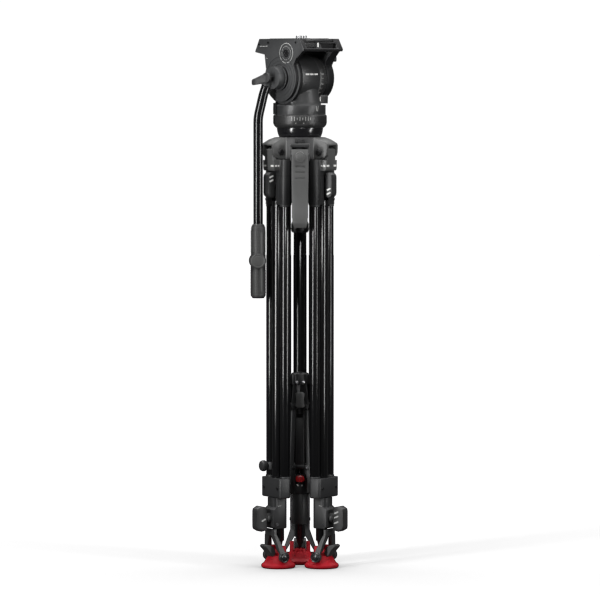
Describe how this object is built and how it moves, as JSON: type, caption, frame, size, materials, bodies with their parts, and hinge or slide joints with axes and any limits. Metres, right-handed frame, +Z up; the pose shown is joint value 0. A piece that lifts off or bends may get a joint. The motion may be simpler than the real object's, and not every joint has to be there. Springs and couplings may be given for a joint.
{
  "type": "video tripod with fluid head",
  "caption": "Folded video tripod with twin-tube telescopic legs, mid-level spreader, 75 mm bowl, levelling fluid head, sliding camera plate and a hanging pan bar.",
  "frame": {"origin": "on the floor, on the tripod's vertical axis, midway between the three feet", "axes": "+Z up along the tripod's axis; the two front legs stand at -X and +X of the -Y side and the third leg is at +Y"},
  "size_m": [0.1566, 0.155, 0.8596],
  "materials": {
    "black_casting": "fine textured black powder coat",
    "moulded_plastic": "glass-filled black plastic, fine grain",
    "anodised_tube": "hard black anodised, smooth satin",
    "knob_plastic": "soft-touch black",
    "dial_plastic": "satin black with pale index marks",
    "ball_gloss": "smooth gloss black",
    "steel": "plain machined steel",
    "red_rubber": "smooth red rubber",
    "strap_rubber": "black rubber",
    "grip_rubber": "black rubber with fine ribs",
    "red_plastic": "gloss red",
    "level_glass": "pale green vial under clear cap"
  },
  "bodies": {
    "crown": {"crown_casting": "black_casting", "crown_pins": "steel"},
    "carry_handle": {"carry_handle": "moulded_plastic"},
    "hub": {"spreader_hub": "moulded_plastic"},
    "hub_knob": {"spreader_lock_knob": "knob_plastic"},
    "release_button": {"spreader_release_button": "red_plastic"},
    "ball": {"half_ball": "ball_gloss"},
    "tie_down": {"tie_down_grip": "dial_plastic"},
    "pan_ring": {"pan_drag_ring": "dial_plastic"},
    "head": {"head_body": "black_casting", "bubble_level": "level_glass"},
    "tilt_dial": {"tilt_drag_dial": "dial_plastic"},
    "tilt_brake": {"tilt_brake_lever": "knob_plastic"},
    "pan_brake": {"pan_brake_lever": "knob_plastic"},
    "platform": {"tilt_platform": "black_casting"},
    "plate": {"camera_plate": "black_casting", "camera_screws": "steel"},
    "plate_lock": {"plate_lock_lever": "knob_plastic"},
    "plate_release": {"plate_release_button": "knob_plastic"},
    "bar": {"bar_rosette": "black_casting", "pan_bar": "anodised_tube", "bar_grip": "grip_rubber"},
    "bar_wing": {"bar_clamp_wing": "knob_plastic"},
    "leg_a": {"leg_top_a": "moulded_plastic", "leg_tubes_a": "anodised_tube", "mid_clamp_a": "moulded_plastic"},
    "middle_a": {"middle_tube_a": "anodised_tube", "foot_clamp_a": "moulded_plastic"},
    "lower_a": {"lower_tube_a": "anodised_tube"},
    "foot_a": {"foot_a": "red_rubber", "foot_strap_a": "strap_rubber"},
    "upper_knob_a": {"upper_clamp_knob_a": "knob_plastic"},
    "lower_knob_a": {"lower_clamp_knob_a": "knob_plastic"},
    "sleeve_a": {"spreader_sleeve_a": "moulded_plastic"},
    "rod_a": {"spreader_rod_a": "steel"},
    "leg_b": {"leg_top_b": "moulded_plastic", "leg_tubes_b": "anodised_tube", "mid_clamp_b": "moulded_plastic"},
    "middle_b": {"middle_tube_b": "anodised_tube", "foot_clamp_b": "moulded_plastic"},
    "lower_b": {"lower_tube_b": "anodised_tube"},
    "foot_b": {"foot_b": "red_rubber", "foot_strap_b": "strap_rubber"},
    "upper_knob_b": {"upper_clamp_knob_b": "knob_plastic"},
    "lower_knob_b": {"lower_clamp_knob_b": "knob_plastic"},
    "sleeve_b": {"spreader_sleeve_b": "moulded_plastic"},
    "rod_b": {"spreader_rod_b": "steel"},
    "leg_c": {"leg_top_c": "moulded_plastic", "leg_tubes_c": "anodised_tube", "mid_clamp_c": "moulded_plastic"},
    "middle_c": {"middle_tube_c": "anodised_tube", "foot_clamp_c": "moulded_plastic"},
    "lower_c": {"lower_tube_c": "anodised_tube"},
    "foot_c": {"foot_c": "red_rubber", "foot_strap_c": "strap_rubber"},
    "upper_knob_c": {"upper_clamp_knob_c": "knob_plastic"},
    "lower_knob_c": {"lower_clamp_knob_c": "knob_plastic"},
    "sleeve_c": {"spreader_sleeve_c": "moulded_plastic"},
    "rod_c": {"spreader_rod_c": "steel"}
  },
  "joints": [
    {"name": "leg_spread_a", "type": "hinge", "parent": "crown", "child": "leg_a", "pos_m": [-0.03897, -0.0225, 0.672], "axis": [-0.5, 0.866, 0], "range_deg": [0, 20]},
    {"name": "middle_extend_a", "type": "slide", "parent": "leg_a", "child": "middle_a", "axis": [0, 0, -1], "range_m": [0, 0.37]},
    {"name": "lower_extend_a", "type": "slide", "parent": "middle_a", "child": "lower_a", "axis": [0, 0, -1], "range_m": [0, 0.36]},
    {"name": "foot_tilt_a", "type": "hinge", "parent": "lower_a", "child": "foot_a", "pos_m": [-0.03507, -0.02025, 0.0245], "axis": [0.5, -0.866, 0], "range_deg": [0, 20]},
    {"name": "upper_knob_turn_a", "type": "hinge", "parent": "leg_a", "child": "upper_knob_a", "pos_m": [-0.0433, -0.025, 0.6195], "axis": [-0.866, -0.5, 0], "range_deg": [0, 90]},
    {"name": "lower_knob_turn_a", "type": "hinge", "parent": "middle_a", "child": "lower_knob_a", "pos_m": [-0.05196, -0.03, 0.081], "axis": [-0.866, -0.5, 0], "range_deg": [0, 90]},
    {"name": "spreader_swing_a", "type": "hinge", "parent": "leg_a", "child": "sleeve_a", "pos_m": [-0.01645, -0.0095, 0.161], "axis": [-0.5, 0.866, 0], "range_deg": [0, 49.39]},
    {"name": "spreader_extend_a", "type": "slide", "parent": "sleeve_a", "child": "rod_a", "axis": [0.0343, 0.0198, 0.9992], "range_m": [0, 0.08893]},
    {"name": "leg_spread_b", "type": "hinge", "parent": "crown", "child": "leg_b", "pos_m": [0.03897, -0.0225, 0.672], "axis": [-0.5, -0.866, 0], "range_deg": [0, 20]},
    {"name": "middle_extend_b", "type": "slide", "parent": "leg_b", "child": "middle_b", "axis": [0, 0, -1], "range_m": [0, 0.37]},
    {"name": "lower_extend_b", "type": "slide", "parent": "middle_b", "child": "lower_b", "axis": [0, 0, -1], "range_m": [0, 0.36]},
    {"name": "foot_tilt_b", "type": "hinge", "parent": "lower_b", "child": "foot_b", "pos_m": [0.03507, -0.02025, 0.0245], "axis": [0.5, 0.866, 0], "range_deg": [0, 20]},
    {"name": "upper_knob_turn_b", "type": "hinge", "parent": "leg_b", "child": "upper_knob_b", "pos_m": [0.0433, -0.025, 0.6195], "axis": [0.866, -0.5, 0], "range_deg": [0, 90]},
    {"name": "lower_knob_turn_b", "type": "hinge", "parent": "middle_b", "child": "lower_knob_b", "pos_m": [0.05196, -0.03, 0.081], "axis": [0.866, -0.5, 0], "range_deg": [0, 90]},
    {"name": "spreader_swing_b", "type": "hinge", "parent": "leg_b", "child": "sleeve_b", "pos_m": [0.01645, -0.0095, 0.161], "axis": [-0.5, -0.866, 0], "range_deg": [0, 49.39]},
    {"name": "spreader_extend_b", "type": "slide", "parent": "sleeve_b", "child": "rod_b", "axis": [-0.0343, 0.0198, 0.9992], "range_m": [0, 0.08893]},
    {"name": "leg_spread_c", "type": "hinge", "parent": "crown", "child": "leg_c", "pos_m": [0, 0.045, 0.672], "axis": [1, 0, 0], "range_deg": [0, 20]},
    {"name": "middle_extend_c", "type": "slide", "parent": "leg_c", "child": "middle_c", "axis": [0, 0, -1], "range_m": [0, 0.37]},
    {"name": "lower_extend_c", "type": "slide", "parent": "middle_c", "child": "lower_c", "axis": [0, 0, -1], "range_m": [0, 0.36]},
    {"name": "foot_tilt_c", "type": "hinge", "parent": "lower_c", "child": "foot_c", "pos_m": [0, 0.0405, 0.0245], "axis": [-1, 0, 0], "range_deg": [0, 20]},
    {"name": "upper_knob_turn_c", "type": "hinge", "parent": "leg_c", "child": "upper_knob_c", "pos_m": [0, 0.05, 0.6195], "axis": [0, 1, 0], "range_deg": [0, 90]},
    {"name": "lower_knob_turn_c", "type": "hinge", "parent": "middle_c", "child": "lower_knob_c", "pos_m": [0, 0.06, 0.081], "axis": [0, 1, 0], "range_deg": [0, 90]},
    {"name": "spreader_swing_c", "type": "hinge", "parent": "leg_c", "child": "sleeve_c", "pos_m": [0, 0.019, 0.161], "axis": [1, 0, 0], "range_deg": [0, 49.39]},
    {"name": "spreader_extend_c", "type": "slide", "parent": "sleeve_c", "child": "rod_c", "axis": [0, -0.0396, 0.9992], "range_m": [0, 0.08893]},
    {"name": "hub_slide", "type": "slide", "parent": "crown", "child": "hub", "axis": [0, 0, 1], "range_m": [-0.01927, 0]},
    {"name": "hub_knob_turn", "type": "hinge", "parent": "hub", "child": "hub_knob", "pos_m": [0, -0.016, 0.272], "axis": [0, -1, 0], "range_deg": [-90, 90]},
    {"name": "release_press", "type": "slide", "parent": "leg_c", "child": "release_button", "axis": [0, 1, 0], "range_m": [0, 0.002], "stiffness_N_per_m": 300, "springref_m": -0.001},
    {"name": "handle_swing", "type": "hinge", "parent": "crown", "child": "carry_handle", "pos_m": [0, -0.0555, 0.668], "axis": [-1, 0, 0], "range_deg": [0, 100]},
    {"name": "level_tilt", "type": "hinge", "parent": "crown", "child": "ball", "pos_m": [0, 0, 0.713], "axis": [-0.91, -0.4147, 0], "range_deg": [-5.5, 5.5]},
    {"name": "tie_down_turn", "type": "hinge", "parent": "ball", "child": "tie_down", "pos_m": [0, 0, 0.6], "axis": [0, 0, 1], "continuous": true},
    {"name": "pan_drag_turn", "type": "hinge", "parent": "ball", "child": "pan_ring", "pos_m": [0, 0, 0.722], "axis": [0, 0, 1], "range_deg": [-150, 150]},
    {"name": "pan", "type": "hinge", "parent": "ball", "child": "head", "pos_m": [0, 0, 0.74], "axis": [0, 0, 1], "continuous": true},
    {"name": "tilt", "type": "hinge", "parent": "head", "child": "platform", "pos_m": [0, 0, 0.7915], "axis": [0.7547, 0.6561, 0], "range_deg": [-75, 90]},
    {"name": "tilt_drag_turn", "type": "hinge", "parent": "head", "child": "tilt_dial", "pos_m": [0.01358, 0.01181, 0.7915], "axis": [-0.7547, -0.6561, 0], "range_deg": [-150, 150]},
    {"name": "tilt_brake_turn", "type": "hinge", "parent": "head", "child": "tilt_brake", "pos_m": [0.03235, -0.01587, 0.757], "axis": [-0.7547, -0.6561, 0], "range_deg": [0, 30]},
    {"name": "pan_brake_turn", "type": "hinge", "parent": "head", "child": "pan_brake", "pos_m": [-0.04041, -0.01471, 0.741], "axis": [-0.9397, -0.342, 0], "range_deg": [0, 60]},
    {"name": "plate_slide", "type": "slide", "parent": "platform", "child": "plate", "axis": [0.6561, -0.7547, 0], "range_m": [-0.03, 0.03]},
    {"name": "plate_lock_turn", "type": "hinge", "parent": "platform", "child": "plate_lock", "pos_m": [0.00885, -0.05591, 0.842], "axis": [0, 0, -1], "range_deg": [0, 60]},
    {"name": "plate_release_press", "type": "slide", "parent": "platform", "child": "plate_release", "axis": [-0.7547, -0.6561, 0], "range_m": [0, 0.002], "stiffness_N_per_m": 300, "springref_m": -0.001},
    {"name": "bar_swing", "type": "hinge", "parent": "platform", "child": "bar", "pos_m": [-0.03472, -0.03018, 0.7915], "axis": [0.7547, 0.6561, 0], "range_deg": [0, 80]},
    {"name": "bar_wing_turn", "type": "hinge", "parent": "bar", "child": "bar_wing", "pos_m": [-0.04981, -0.0433, 0.7915], "axis": [-0.7547, -0.6561, 0], "continuous": true}
  ],
  "couplings": [
    {"joint": "foot_tilt_a", "follows": "leg_spread_a", "ratio": 1},
    {"joint": "spreader_swing_a", "follows": "leg_spread_a", "ratio": 2.4692},
    {"joint": "spreader_extend_a", "follows": "leg_spread_a", "m_per_rad": 0.25474},
    {"joint": "leg_spread_b", "follows": "leg_spread_a", "ratio": 1},
    {"joint": "foot_tilt_b", "follows": "leg_spread_a", "ratio": 1},
    {"joint": "spreader_swing_b", "follows": "leg_spread_a", "ratio": 2.4692},
    {"joint": "spreader_extend_b", "follows": "leg_spread_a", "m_per_rad": 0.25474},
    {"joint": "leg_spread_c", "follows": "leg_spread_a", "ratio": 1},
    {"joint": "foot_tilt_c", "follows": "leg_spread_a", "ratio": 1},
    {"joint": "spreader_swing_c", "follows": "leg_spread_a", "ratio": 2.4692},
    {"joint": "spreader_extend_c", "follows": "leg_spread_a", "m_per_rad": 0.25474},
    {"joint": "hub_slide", "follows": "leg_spread_a", "m_per_rad": -0.055188},
    {"joint": "bar_swing", "follows": "leg_spread_a", "ratio": 4}
  ]
}
